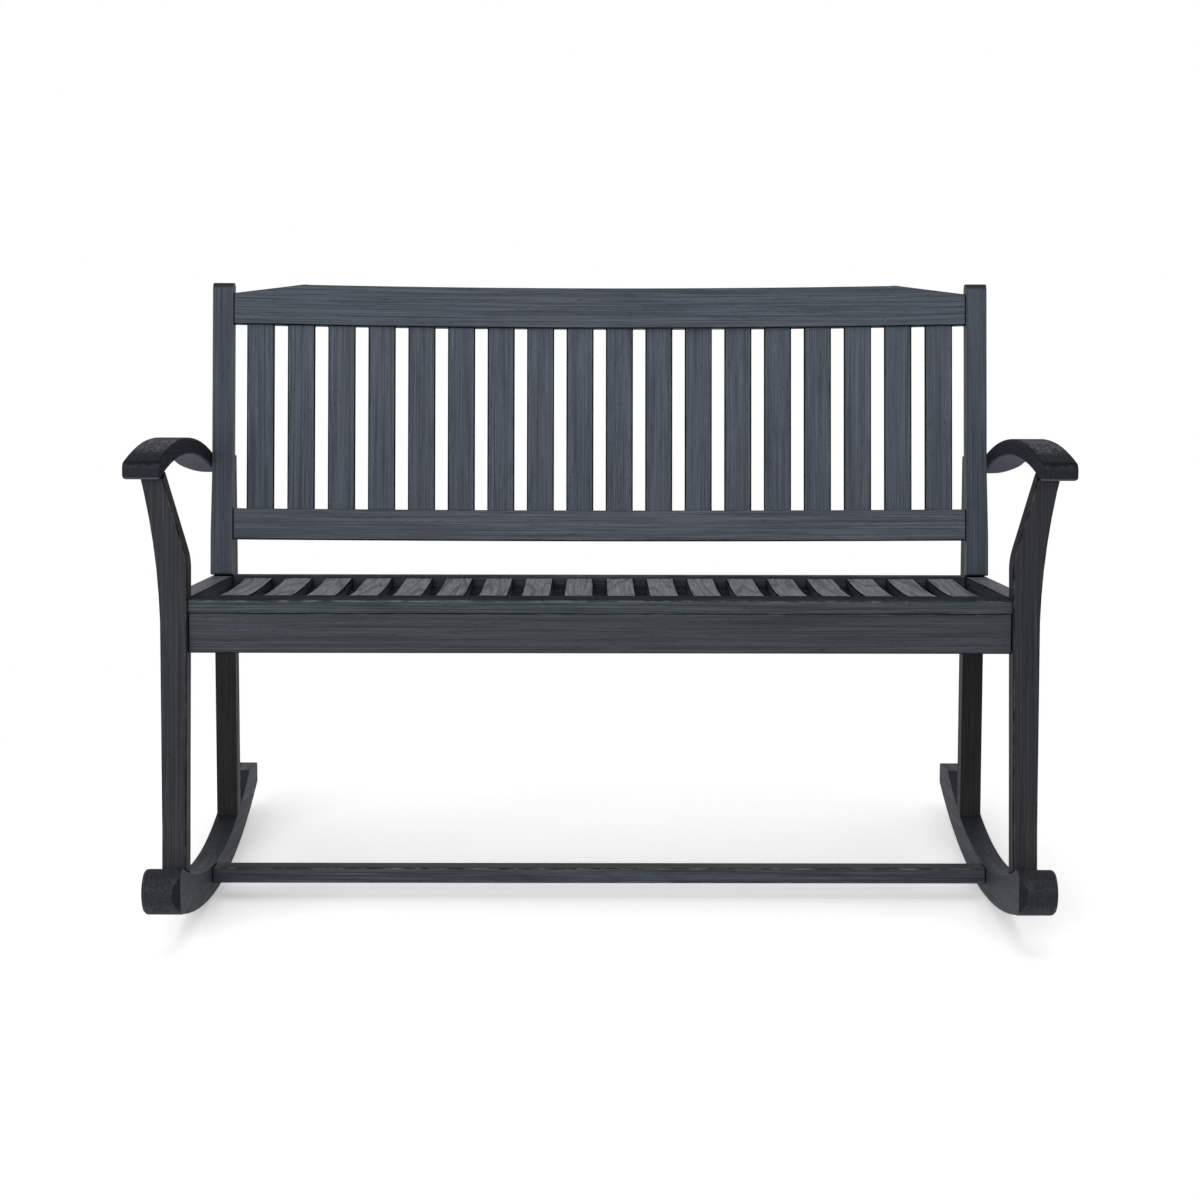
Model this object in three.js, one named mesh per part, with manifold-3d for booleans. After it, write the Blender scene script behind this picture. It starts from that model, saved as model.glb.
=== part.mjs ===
// A slatted two-seat rocking bench in dark stained hardwood.
// Lengths are in millimetres, x runs to the right, y to the back and z up.
// Most pieces are laid out in a frame with the seat level. Its y is zero at the front of the seat and its z
// is zero at the lowest point of the rockers. That frame leans back to the angle at which the bench rests,
// and the origin of the finished group is on the floor, in the middle of the space the bench takes up.
import * as THREE from 'three';
import { mergeVertices } from 'three/addons/utils/BufferGeometryUtils.js';
import Module from 'manifold-3d';

const wasm = await Module();
wasm.setup();

const degree = Math.PI / 180;

// Clearances and joints
const fit = 0.3;
const overrun = 8;
const tenonLength = 18;
const tenonThickness = 13;
const tenonShoulder = 7;

// Whole bench
const insideWidth = 1121;
const legWidth = 33;
const recline = 7 * degree;

// Rockers
const rollRadius = 1181;
const rollMid = 185;
const rollTurn = 2 * degree;
const rockerWaist = 42.5;
const hollowRadius = 800;
const hollowMid = 204;
const hollowSteps = 22;
const toeReach = 92;
const toeNose = 30;
const toeSteps = 12;
const toeWidth = 52;
const toeShoulderFront = 64;
const toeShoulderRear = 20;
const toeEdge = 7;
const toeChamfer = 10.5;
const tailReach = 640;
const tailHeight = 31.7;
const tailCorner = 7;

// Stretcher between the rockers
const stretcherFront = 178;
const stretcherDepth = 40;
const stretcherHeight = 22.2;
const stretcherLift = 18.3;

// Seat
const seatTop = 447;
const seatDepth = 395;
const boardThickness = 20;
const boardDepth = 55;
const boardSetback = 2.5;
const boardNose = 6;
const boardCorner = 4;
const apronHeight = 54;
const apronThickness = 21;
const sideRailHeight = 60;
const rearRailHeight = 54;
const rearRailRise = 1.7;
const rearRailThickness = 20;
const ledgerHeight = 32;
const ledgerDepth = 22;
const slatCount = 18;
const slatWidth = 42.2;
const seatSlatThickness = 14;
const seatSlatSteps = 10;
const slatFrontDrop = 0.6;
const slatHollowDrop = 9;
const slatHollowPlace = 205;
const slatRearDrop = 2.8;

// Front legs
const frontLegDepth = 36;
const frontLegRake = 5.2 * degree;
const frontLegForward = 2;
const kneeRise = 53;
const kneeRadius = 90;
const innerFlare = 17 * degree;
const outerFlareDrop = 67;
const outerFlareRadius = 970;
const outerTaperStart = 130;
const outerTaper = 3;
const outerFlareSteps = 8;

// Rear legs
const rearLegWidth = 31.5;
const rearLegDepth = 33;
const rearLegRise = 4.8;
const rearLegCrown = 9;
const rearLegChamfer = 5;

// Arms
const armWidth = 52.3;
const armRise = 214.1;
const armCrestPlace = 223;
const armRadius = 868;
const armThickness = 24.4;
const armNose = 1;
const armTailProud = 0.9;
const armSplay = 0.3 * degree;
const armSteps = 20;
const armEdge = 5;
const armNoseRadius = 12;
const armNoseHeel = 6;
const armTailRound = 36;
const armTailRun = 90;

// Back
const backLean = 6 * degree;
const stileLift = 3;
const stileLength = 447.5;
const stileDepth = 27;
const stileTaper = 2;
const stileTaperStart = 60;
const stileTaperEnd = 160;
const stileCrown = 12;
const stileFootCorner = 4;
const backBow = 48;
const backRailThickness = 21;
const backRailSetback = 2.5;
const backRailSteps = 20;
const topRailHeight = 62.5;
const topRailEndHeight = 47;
const topRailHip = 457;
const topRailBase = 384;
const lowRailHeight = 47.5;
const lowRailBase = 54;
const backSlatThickness = 12;
const backSlatHousing = 11;

// Bolts that hold the back to the rear legs
const boltRadius = 3.4;
const boltHeadRadius = 7.5;
const boltHeadHeight = 4.2;
const boltReach = 16;
const boltSides = 14;
const lowerBoltShare = 0.67;
const upperBoltShare = 0.776;

// Places that several pieces share
const insideFace = insideWidth / 2;
const legMiddle = insideFace + legWidth / 2;
const outsideFace = insideFace + legWidth;
const rearLegMiddle = insideFace + rearLegWidth / 2;
const armInner = insideFace + rearLegWidth + fit;
const boardBottom = seatTop - boardThickness;
const armCrest = seatTop + armRise;
const kneeHeight = seatTop + kneeRise;
const outerFlareStart = seatTop - outerFlareDrop;
const boardRear = boardSetback + boardDepth;
const stileFoot = seatTop + stileLift;
const slatPitch = slatWidth + (insideWidth - slatCount * slatWidth) / (slatCount + 1);
const bowRadius = (insideFace ** 2 + backBow ** 2) / (2 * backBow);
const sides = { left: -1, right: 1 };

// Colours of the stained wood, from the sunlit slats to the shaded posts
const stain = { rail: 0x4b525b, slat: 0x4f565f, post: 0x3f4349, rocker: 0x3d4148, steel: 0x8a8c8e };

function finish(colour, metal) {
  const roughness = metal ? 0.35 : 0.62;
  return new THREE.MeshStandardMaterial({ color: colour, roughness, metalness: metal ? 0.9 : 0 });
}

// Turns a closed geometry into a solid that can be cut and joined
function toSolid(geometry) {
  const bare = geometry.clone();
  bare.deleteAttribute('normal');
  bare.deleteAttribute('uv');
  const merged = mergeVertices(bare);
  const mesh = new wasm.Mesh({
    numProp: 3,
    vertProperties: new Float32Array(merged.attributes.position.array),
    triVerts: new Uint32Array(merged.index.array),
  });
  return new wasm.Manifold(mesh);
}

// Turns a solid back into a flat-shaded geometry
function toGeometry(solid) {
  const mesh = solid.getMesh();
  const indexed = new THREE.BufferGeometry();
  indexed.setAttribute('position', new THREE.BufferAttribute(new Float32Array(mesh.vertProperties), 3));
  indexed.setIndex(new THREE.BufferAttribute(new Uint32Array(mesh.triVerts), 1));
  const flat = indexed.toNonIndexed();
  flat.computeVertexNormals();
  return flat;
}

const xAxis = new THREE.Vector3(1, 0, 0);
const yAxis = new THREE.Vector3(0, 1, 0);
const zAxis = new THREE.Vector3(0, 0, 1);
const sideView = new THREE.Matrix4().makeBasis(yAxis, zAxis, xAxis);
const frontView = new THREE.Matrix4().makeBasis(xAxis, zAxis, yAxis.clone().negate());

// An outline of [y, z] points, given a width along x and centred on x = 0
function fromSide(outline, width, edge = 0) {
  const shape = new THREE.Shape(outline.map(([y, z]) => new THREE.Vector2(y, z)));
  const geometry = new THREE.ExtrudeGeometry(shape, {
    depth: width - 2 * edge,
    bevelEnabled: edge > 0,
    bevelThickness: edge,
    bevelSize: edge,
    bevelOffset: -edge,
    bevelSegments: 3,
  });
  geometry.translate(0, 0, edge - width / 2);
  return geometry.applyMatrix4(sideView);
}

// An outline of [x, z] points, given a depth from one y to another
function fromFront(outline, front, rear) {
  const shape = new THREE.Shape(outline.map(([x, z]) => new THREE.Vector2(x, z)));
  const geometry = new THREE.ExtrudeGeometry(shape, { depth: rear - front, bevelEnabled: false });
  geometry.applyMatrix4(frontView);
  return geometry.translate(0, rear, 0);
}

// An outline of [x, y] points, given a height from one z to another
function fromAbove(outline, low, high) {
  const shape = new THREE.Shape(outline.map(([x, y]) => new THREE.Vector2(x, y)));
  const geometry = new THREE.ExtrudeGeometry(shape, { depth: high - low, bevelEnabled: false });
  return geometry.translate(0, 0, low);
}

function box(width, depth, height, x, y, z) {
  return new THREE.BoxGeometry(width, depth, height).translate(x, y, z);
}

function board(width, depth, height, x, y, z) {
  return toSolid(box(width, depth, height, x, y, z));
}

// Evenly spaced values from one end to the other, both included
function spread(from, to, steps) {
  return Array.from({ length: steps + 1 }, (_, index) => from + ((to - from) * index) / steps);
}

// Points on an arc about a middle, from one angle to another
function arc(middleA, middleB, radiusA, radiusB, from, to, steps) {
  return spread(from, to, steps).map((angle) => [
    middleA + radiusA * Math.cos(angle),
    middleB + radiusB * Math.sin(angle),
  ]);
}

// Heights of the curved surfaces at a place along y
const rollHeight = (y) => rollRadius - Math.sqrt(rollRadius ** 2 - (y - rollMid) ** 2);
const hollowHeight = (y) => rockerWaist + hollowRadius - Math.sqrt(hollowRadius ** 2 - (y - hollowMid) ** 2);
const armTopHeight = (y) => armCrest - armRadius + Math.sqrt(armRadius ** 2 - (y - armCrestPlace) ** 2);
const armUnderRadius = armRadius - armThickness;
const armMiddle = armCrest - armRadius;
const armUnderHeight = (y) => armMiddle + Math.sqrt(armUnderRadius ** 2 - (y - armCrestPlace) ** 2);
const tailTop = rollHeight(tailReach) + tailHeight;
const frontLegFace = (z) => (z - seatTop) * Math.tan(frontLegRake) - frontLegForward;
const frontLegBack = (z) => frontLegFace(z) + frontLegDepth / Math.cos(frontLegRake);

// A place on the back, given by its distance behind the face of the stiles and along them from their foot
function onBack(behind, along) {
  return [
    seatDepth + behind * Math.cos(backLean) + along * Math.sin(backLean),
    stileFoot - behind * Math.sin(backLean) + along * Math.cos(backLean),
  ];
}

// Places on the rear legs: the face under the back, which the stiles lie against above the seat
const stileRear = stileDepth + fit;
const alongAtSeat = (seatTop - onBack(stileRear, 0)[1]) / Math.cos(backLean);
const rearLegFront = onBack(stileRear, alongAtSeat)[0];
const rearLegBack = rearLegFront + rearLegDepth;
const rearLegFaceAt = (z) => rearLegFront + Math.max(z - seatTop, 0) * Math.tan(backLean);

// The tail of each arm ends just behind the rear leg, and the top of the leg stands a little above the arm
const armTail = rearLegBack + armTailProud;
const rearLegTop = armTopHeight(armTail) + rearLegRise;

// Heights of the bolts: the lower one between the foot of the stile and the lower rail, the upper one near
// the top of the rear leg
const boltHeights = {
  lower: stileFoot + lowerBoltShare * lowRailBase * Math.cos(backLean),
  upper: seatTop + upperBoltShare * (rearLegTop - seatTop),
};

// Tenons at both ends of the legs
const frontFootY = frontLegFace(hollowHeight(0)) + frontLegDepth / 2;
const rearFootY = rearLegFront + rearLegDepth / 2;
const legTenonDepth = frontLegDepth - 2 * tenonShoulder;
const armSeatY = frontLegFace(armUnderHeight(frontLegDepth)) + frontLegDepth / 2;
const armTenonLength = armThickness / 2;
const flareAtArm = (armUnderHeight(armSeatY) - kneeHeight) * Math.tan(innerFlare);
const armTenonX = insideFace + flareAtArm + legWidth / 2;

// A tenon, or with the clearance added the mortise that takes it
function joint(width, depth, height, x, y, z, clearance) {
  const grow = 2 * clearance;
  return board(width + grow, depth + grow, height + grow, x, y, z);
}

function footJoint(x, y, clearance) {
  const depth = tenonLength;
  const middle = hollowHeight(y);
  return joint(tenonThickness, legTenonDepth, 2 * depth, x, y, middle, clearance);
}

function armJoint(side, clearance) {
  const height = 2 * armTenonLength;
  const z = armUnderHeight(armSeatY);
  return joint(tenonThickness, legTenonDepth, height, side * armTenonX, armSeatY, z, clearance);
}

// Rocker

// Points along the underside, at even turns that leave one flat centred on the recline
function rollPoints(from, to) {
  const start = Math.asin((from - rollMid) / rollRadius);
  const end = Math.asin((to - rollMid) / rollRadius);
  const first = Math.ceil((start - recline) / rollTurn);
  const last = Math.floor((end - recline) / rollTurn);
  const turns = [start];
  for (let step = first; step < last; step += 1) {
    turns.push(recline + (step + 0.5) * rollTurn);
  }
  turns.push(end);
  return turns.map((turn) => [rollMid + rollRadius * Math.sin(turn), rollRadius * (1 - Math.cos(turn))]);
}

const toeMiddle = toeNose - toeReach;

// The rounded front of the rocker, from its top to its underside
function toePoints() {
  const top = hollowHeight(toeMiddle);
  const bottom = rollHeight(toeMiddle);
  const middle = (top + bottom) / 2;
  return arc(toeMiddle, middle, toeNose, top - middle, Math.PI / 2, (3 * Math.PI) / 2, toeSteps);
}

function rockerOutline() {
  const flatStart = hollowMid + Math.sqrt(hollowRadius ** 2 - (hollowRadius + rockerWaist - tailTop) ** 2);
  const corner = arc(tailReach - tailCorner, tailTop - tailCorner, tailCorner, tailCorner, 0, Math.PI / 2, 3);
  const hollow = spread(flatStart, toeMiddle, hollowSteps).map((y) => [y, hollowHeight(y)]);
  return [...rollPoints(toeMiddle, tailReach), ...corner, ...hollow, ...toePoints().slice(1, -1)];
}

function toeOutline() {
  const rear = -toeShoulderRear;
  const over = [[rear, hollowHeight(rear)], [(rear + toeMiddle) / 2, hollowHeight((rear + toeMiddle) / 2)]];
  return [...rollPoints(toeMiddle, rear), ...over, ...toePoints().slice(0, -1)];
}

// The toe spreads outwards in front of the leg and runs back into the outer face of the rocker
function toePlan(side) {
  const outer = insideFace + toeWidth;
  const shoulder = toeShoulderFront - toeShoulderRear;
  const curve = arc(outsideFace, -toeShoulderFront, outer - outsideFace, shoulder, 0, Math.PI / 2, 6);
  const inner = insideFace - overrun;
  const front = -toeReach - overrun;
  const points = [[inner, front], [outer, front], ...curve, [inner, -toeShoulderRear]];
  return points.map(([x, y]) => [side * x, y]);
}

function toeChamferCut(side) {
  const x = insideFace;
  const y = -toeReach;
  const far = toeChamfer + overrun;
  const points = [[x - overrun, y - overrun], [x + far, y - overrun], [x - overrun, y + far]];
  const plan = points.map(([across, along]) => [side * across, along]);
  return toSolid(fromAbove(plan, -overrun, tailTop));
}

function rocker(side) {
  const main = toSolid(fromSide(rockerOutline(), legWidth)).translate([side * legMiddle, 0, 0]);
  const toeReachOut = toeWidth - legWidth / 2;
  const toeBlock = toSolid(fromSide(toeOutline(), toeReachOut, toeEdge));
  const toeX = side * (legMiddle + toeReachOut / 2);
  const plan = toSolid(fromAbove(toePlan(side), -overrun, tailTop));
  const toe = toeBlock.translate([toeX, 0, 0]).intersect(plan);
  return main
    .add(toe)
    .subtract(toeChamferCut(side))
    .subtract(footJoint(side * legMiddle, frontFootY, fit))
    .subtract(footJoint(side * rearLegMiddle, rearFootY, fit))
    .subtract(stretcherJoint(side, fit));
}

// Stretcher

function stretcherJoint(side, clearance) {
  const depth = stretcherDepth - 2 * tenonShoulder;
  const height = stretcherHeight - tenonShoulder;
  const y = stretcherFront + stretcherDepth / 2;
  const z = stretcherLift + stretcherHeight / 2;
  return joint(2 * tenonLength, depth, height, side * insideFace, y, z, clearance);
}

function stretcher() {
  const y = stretcherFront + stretcherDepth / 2;
  const z = stretcherLift + stretcherHeight / 2;
  const bar = board(insideWidth - 2 * fit, stretcherDepth, stretcherHeight, 0, y, z);
  return bar.add(stretcherJoint(sides.left, 0)).add(stretcherJoint(sides.right, 0));
}

// Front leg: one outline from the front, with the flare, and one from the side, with the rake

function frontLegFront(side) {
  const base = rollHeight(0);
  const top = armCrest;
  const kneeTurn = kneeRadius * Math.tan(innerFlare / 2);
  const kneeStart = kneeHeight - kneeTurn;
  const kneeX = insideFace + kneeRadius;
  const knee = arc(kneeX, kneeStart, kneeRadius, kneeRadius, Math.PI, Math.PI - innerFlare, 4);
  const innerTop = insideFace + (top - kneeHeight) * Math.tan(innerFlare);
  const flareX = outsideFace + outerTaper;
  const flareTurn = Math.asin((top - outerFlareStart) / outerFlareRadius);
  const flare = arc(
    flareX + outerFlareRadius, outerFlareStart, outerFlareRadius, outerFlareRadius,
    Math.PI - flareTurn, Math.PI, outerFlareSteps,
  );
  const points = [
    [insideFace, base],
    ...knee,
    [innerTop, top],
    ...flare,
    [outsideFace, outerTaperStart],
    [outsideFace, base],
  ];
  return points.map(([x, z]) => [side * x, z]);
}

function frontLegSide() {
  const footFront = frontLegFace(hollowHeight(-frontLegDepth));
  const footBack = frontLegBack(hollowHeight(0));
  const headFront = frontLegFace(armUnderHeight(0));
  const headBack = frontLegBack(armUnderHeight(frontLegDepth));
  return [
    [footFront, hollowHeight(footFront) + fit],
    [footBack, hollowHeight(footBack) + fit],
    [headBack, armUnderHeight(headBack) - fit],
    [headFront, armUnderHeight(headFront) - fit],
  ];
}

function apronJoint(side, clearance) {
  const y = boardSetback + apronThickness / 2;
  const z = boardBottom - fit - apronHeight / 2;
  const height = apronHeight - 2 * tenonShoulder;
  return joint(2 * tenonLength, tenonThickness, height, side * insideFace, y, z, clearance);
}

function frontLeg(side) {
  const front = toSolid(fromFront(frontLegFront(side), -toeReach, seatDepth));
  const rake = toSolid(fromSide(frontLegSide(), 2 * armWidth + legWidth)).translate([side * legMiddle, 0, 0]);
  return front
    .intersect(rake)
    .add(footJoint(side * legMiddle, frontFootY, 0))
    .add(armJoint(side, 0))
    .subtract(apronJoint(side, fit));
}

// Rear leg: upright behind, with its face above the seat cut to the lean of the back

// The leg from the front, with a chamfer on the inner corner of its top
function rearLegFrontView(side) {
  const outer = insideFace + rearLegWidth;
  const points = [
    [insideFace, 0],
    [insideFace, rearLegTop - rearLegChamfer],
    [insideFace + rearLegChamfer, rearLegTop],
    [outer, rearLegTop],
    [outer, 0],
  ];
  return points.map(([x, z]) => [side * x, z]);
}

function rearLeg(side) {
  const depthAtTop = rearLegBack - rearLegFaceAt(rearLegTop);
  const radius = Math.min(rearLegCrown, depthAtTop / 2);
  const crown = arc(rearLegBack - radius, rearLegTop - radius, radius, radius, 0, Math.PI / 2, 4);
  const outline = [
    [rearLegFront, hollowHeight(rearLegFront) + fit],
    [rearLegBack, hollowHeight(rearLegBack) + fit],
    ...crown,
    [rearLegFaceAt(rearLegTop), rearLegTop],
    [rearLegFront, seatTop],
  ];
  const silhouette = toSolid(fromFront(rearLegFrontView(side), seatDepth, rearLegBack + overrun));
  const post = toSolid(fromSide(outline, legWidth))
    .translate([side * legMiddle, 0, 0])
    .intersect(silhouette);
  return Object.values(boltHeights)
    .reduce((leg, height) => leg.subtract(toSolid(boltHole(side, height))), post)
    .add(footJoint(side * rearLegMiddle, rearFootY, 0));
}

// Arm: an arched board with a rounded nose and a long round on the outer corner of its tail. It lies along
// the rear leg and splays outwards from there to its nose.

// The middle of a round on the nose that meets a curve of the arm without a kink
function noseRound(radius, reach) {
  const y = radius - armNose;
  return [y, armMiddle + Math.sqrt(reach ** 2 - (y - armCrestPlace) ** 2)];
}

function armOutline() {
  const [topY, topZ] = noseRound(armNoseRadius, armRadius - armNoseRadius);
  const [heelY, heelZ] = noseRound(armNoseHeel, armUnderRadius + armNoseHeel);
  const topTurn = Math.atan2(topZ - armMiddle, topY - armCrestPlace);
  const heelTurn = Math.atan2(armMiddle - heelZ, armCrestPlace - heelY) + 2 * Math.PI;
  const nose = arc(topY, topZ, armNoseRadius, armNoseRadius, topTurn, Math.PI, 5);
  const heel = arc(heelY, heelZ, armNoseHeel, armNoseHeel, Math.PI, heelTurn, 4);
  const top = spread(armTail, nose[0][0], armSteps).map((y) => [y, armTopHeight(y)]);
  const under = spread(heel.at(-1)[0], armTail, armSteps).map((y) => [y, armUnderHeight(y)]);
  return [...top, ...nose.slice(1), ...heel, ...under.slice(1)];
}

function armPlan(side) {
  const inner = armInner - overrun;
  const outer = armInner + armWidth;
  const front = -armNose - overrun;
  const corner = arc(outer - armTailRound, armTail - armTailRun, armTailRound, armTailRun, 0, Math.PI / 2, 9);
  const points = [[inner, front], [outer, front], ...corner, [inner, armTail]];
  return points.map(([x, y]) => [side * x, y]);
}

// Turns an arm outwards about the inner corner of its tail
function splay(geometry, side) {
  const pivot = side * armInner;
  return geometry.translate(-pivot, -armTail, 0).rotateZ(side * armSplay).translate(pivot, armTail, 0);
}

function arm(side) {
  const arch = fromSide(armOutline(), armWidth, armEdge).translate(side * (armInner + armWidth / 2), 0, 0);
  const plan = fromAbove(armPlan(side), seatTop, armCrest + overrun);
  const shaped = toSolid(splay(arch, side)).intersect(toSolid(splay(plan, side)));
  return shaped.subtract(armJoint(side, fit));
}

// Seat frame

function seatSideRail() {
  const low = seatTop - sideRailHeight;
  return fromSide([
    [frontLegBack(low) + fit, low],
    [rearLegFront - fit, low],
    [rearLegFront - fit, seatTop],
    [frontLegBack(seatTop) + fit, seatTop],
  ], legWidth);
}

// The seat board from the front, with its two upper corners rounded
function frontBoardView() {
  const half = insideWidth / 2 - 2 * fit;
  const middle = half - boardCorner;
  const height = seatTop - boardCorner;
  const right = arc(middle, height, boardCorner, boardCorner, 0, Math.PI / 2, 3);
  const left = arc(-middle, height, boardCorner, boardCorner, Math.PI / 2, Math.PI, 3);
  return fromFront([[half, boardBottom], ...right, ...left, [-half, boardBottom]], 0, boardRear + overrun);
}

function frontSeatBoard() {
  const front = boardSetback;
  const upper = arc(front + boardNose, seatTop - boardNose, boardNose, boardNose, Math.PI, Math.PI / 2, 4);
  const lowerRadius = boardNose / 2;
  const lower = arc(
    front + lowerRadius, boardBottom + lowerRadius, lowerRadius, lowerRadius, (3 * Math.PI) / 2, Math.PI, 3,
  );
  const outline = [[boardRear, boardBottom], ...lower, ...upper, [boardRear, seatTop]];
  return toSolid(fromSide(outline, insideWidth)).intersect(toSolid(frontBoardView()));
}

function frontApron() {
  const y = boardSetback + apronThickness / 2;
  const z = boardBottom - fit - apronHeight / 2;
  const bar = board(insideWidth - 4 * fit, apronThickness, apronHeight, 0, y, z);
  return bar.add(apronJoint(sides.left, 0)).add(apronJoint(sides.right, 0));
}

const rearRailFront = rearLegFront - fit - rearRailThickness;

function rearSeatRail() {
  const y = rearRailFront + rearRailThickness / 2;
  const z = seatTop + rearRailRise - rearRailHeight / 2;
  return box(insideWidth - 2 * fit, rearRailThickness, rearRailHeight, 0, y, z);
}

// Seat slats: dished along their length by a parabola through three heights
const slatFront = boardRear + fit;
const slatRear = rearRailFront - fit;
const hollowAt = slatHollowPlace;

function slatTopHeight(y) {
  const reach = y < hollowAt ? hollowAt - slatFront : slatRear - hollowAt;
  const rise = y < hollowAt ? slatHollowDrop - slatFrontDrop : slatHollowDrop - slatRearDrop;
  return seatTop - slatHollowDrop + rise * ((y - hollowAt) / reach) ** 2;
}

const slatUnderHeight = (y) => slatTopHeight(y) - seatSlatThickness;

function seatSlat() {
  const top = spread(slatRear, slatFront, seatSlatSteps).map((y) => [y, slatTopHeight(y)]);
  const under = spread(slatFront, slatRear, seatSlatSteps).map((y) => [y, slatUnderHeight(y)]);
  return fromSide([...under, ...top], slatWidth);
}

function slatLedger(front) {
  const rear = front + ledgerDepth;
  const low = Math.min(slatUnderHeight(front), slatUnderHeight(rear)) - ledgerHeight;
  const clear = 2 * fit;
  return fromSide([
    [front, low],
    [rear, low],
    [rear, slatUnderHeight(rear) - clear],
    [front, slatUnderHeight(front) - clear],
  ], insideWidth - 2 * fit);
}

// Back: laid out upright, with x across, y behind the face of the stiles and z along them from their foot

const back = new THREE.Group();
back.position.set(0, seatDepth, stileFoot);
back.rotation.x = -backLean;
back.updateMatrix();

const bowDepth = (x) => Math.sqrt(bowRadius ** 2 - x ** 2) - (bowRadius - backBow);
const bowTurn = (x) => -Math.asin(x / bowRadius);

// A curved rail seen from above: a strip of even thickness whose ends are square to the stiles
function bowStrip(low, high) {
  const half = insideFace - fit;
  const across = spread(-half, half, backRailSteps);
  const face = across.map((x) => [x, backRailSetback + bowDepth(x)]);
  const rear = across.map((x) => [x, backRailSetback + bowDepth(x) + backRailThickness]).reverse();
  return toSolid(fromAbove([...face, ...rear], low, high));
}

function railJoint(side, low, height, clearance) {
  const y = backRailSetback + backRailThickness / 2;
  const tall = height - 2 * tenonShoulder;
  return joint(2 * tenonLength, tenonThickness, tall, side * insideFace, y, low + height / 2, clearance);
}

function railEndJoints(low, height, clearance) {
  return railJoint(sides.left, low, height, clearance).add(railJoint(sides.right, low, height, clearance));
}

const slatSpan = (slatCount - 1) * slatPitch;
const slatPlaces = spread(-slatSpan / 2, slatSpan / 2, slatCount - 1);
const backSlatLow = lowRailBase + lowRailHeight - backSlatHousing;
const backSlatHigh = topRailBase + backSlatHousing;

function backSlatBlock(clearance) {
  const height = backSlatHigh - backSlatLow + 2 * clearance;
  const width = slatWidth + 2 * clearance;
  return new THREE.BoxGeometry(width, backSlatThickness + 2 * clearance, height);
}

function backSlatSeat(x) {
  const y = backRailSetback + bowDepth(x) + backRailThickness / 2;
  return { x, y, z: (backSlatLow + backSlatHigh) / 2, turn: bowTurn(x) };
}

function cutSlatHousings(rail) {
  return slatPlaces.reduce((left, x) => {
    const seat = backSlatSeat(x);
    const geometry = backSlatBlock(fit).rotateZ(seat.turn).translate(seat.x, seat.y, seat.z);
    return left.subtract(toSolid(geometry));
  }, rail);
}

function topRail() {
  const high = topRailBase + topRailHeight;
  const shoulder = topRailBase + topRailEndHeight;
  const outline = [
    [-insideFace, topRailBase],
    [insideFace, topRailBase],
    [insideFace, shoulder],
    [topRailHip, high],
    [-topRailHip, high],
    [-insideFace, shoulder],
  ];
  const face = toSolid(fromFront(outline, 0, backBow + stileDepth));
  const strip = bowStrip(topRailBase, high).intersect(face);
  return cutSlatHousings(strip.add(railEndJoints(topRailBase, topRailEndHeight, 0)));
}

function lowRail() {
  const strip = bowStrip(lowRailBase, lowRailBase + lowRailHeight);
  return cutSlatHousings(strip.add(railEndJoints(lowRailBase, lowRailHeight, 0)));
}

function stileOutline() {
  const corner = stileFootCorner;
  const foot = arc(corner, corner, corner, corner, Math.PI, (3 * Math.PI) / 2, 3);
  const small = stileCrown / 2;
  const crownRear = arc(stileDepth - small, stileLength - small, small, small, 0, Math.PI / 2, 3);
  const crown = arc(stileCrown, stileLength - stileCrown, stileCrown, stileCrown, Math.PI / 2, Math.PI, 5);
  return [...foot, [stileDepth, 0], ...crownRear, ...crown];
}

// The stile from the front: its outer face steps in gently above the seat
function stileFrontView(side) {
  const slim = outsideFace - stileTaper;
  const points = [
    [insideFace, 0],
    [outsideFace, 0],
    [outsideFace, stileTaperStart],
    [slim, stileTaperEnd],
    [slim, stileLength],
    [insideFace, stileLength],
  ];
  return points.map(([x, z]) => [side * x, z]);
}

function stile(side) {
  const silhouette = toSolid(fromFront(stileFrontView(side), 0, stileDepth));
  const post = toSolid(fromSide(stileOutline(), legWidth))
    .translate([side * legMiddle, 0, 0])
    .intersect(silhouette);
  const mortised = post
    .subtract(railJoint(side, topRailBase, topRailEndHeight, fit))
    .subtract(railJoint(side, lowRailBase, lowRailHeight, fit));
  return Object.values(boltHeights).reduce((left, height) => {
    const hole = boltHole(side, height).applyMatrix4(back.matrix.clone().invert());
    return left.subtract(toSolid(hole));
  }, mortised);
}

// Bolts: a domed head on the rear face of the leg and a plain shank that runs into the stile

function boltHole(side, height) {
  const tip = rearLegFaceAt(height) - boltReach - fit;
  const length = rearLegBack + overrun - tip;
  const hole = new THREE.CylinderGeometry(boltRadius + fit, boltRadius + fit, length, boltSides);
  return hole.translate(side * legMiddle, tip + length / 2, height);
}

function bolt(height) {
  const tip = rearLegFaceAt(height) - boltReach;
  const seat = rearLegBack + fit;
  const dome = spread(Math.PI / 6, Math.PI / 2, 3).slice(0, -1).map((turn) => [
    boltHeadRadius * Math.cos(turn),
    seat + boltHeadHeight * Math.sin(turn),
  ]);
  const shank = [[0, tip], [boltRadius, tip], [boltRadius, seat], [boltHeadRadius, seat]];
  const profile = [...shank, ...dome, [0, seat + boltHeadHeight]];
  return new THREE.LatheGeometry(profile.map(([radius, y]) => new THREE.Vector2(radius, y)), boltSides);
}

// The assembled bench

const frame = new THREE.Group();
frame.rotation.x = -recline;
const touchRadius = rollRadius * Math.cos(rollTurn / 2);
const touchY = rollMid + touchRadius * Math.sin(recline);
const touchZ = rollRadius - touchRadius * Math.cos(recline);
const touch = new THREE.Vector3(0, touchY, touchZ).applyAxisAngle(xAxis, -recline);
frame.position.copy(touch).negate();

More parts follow.
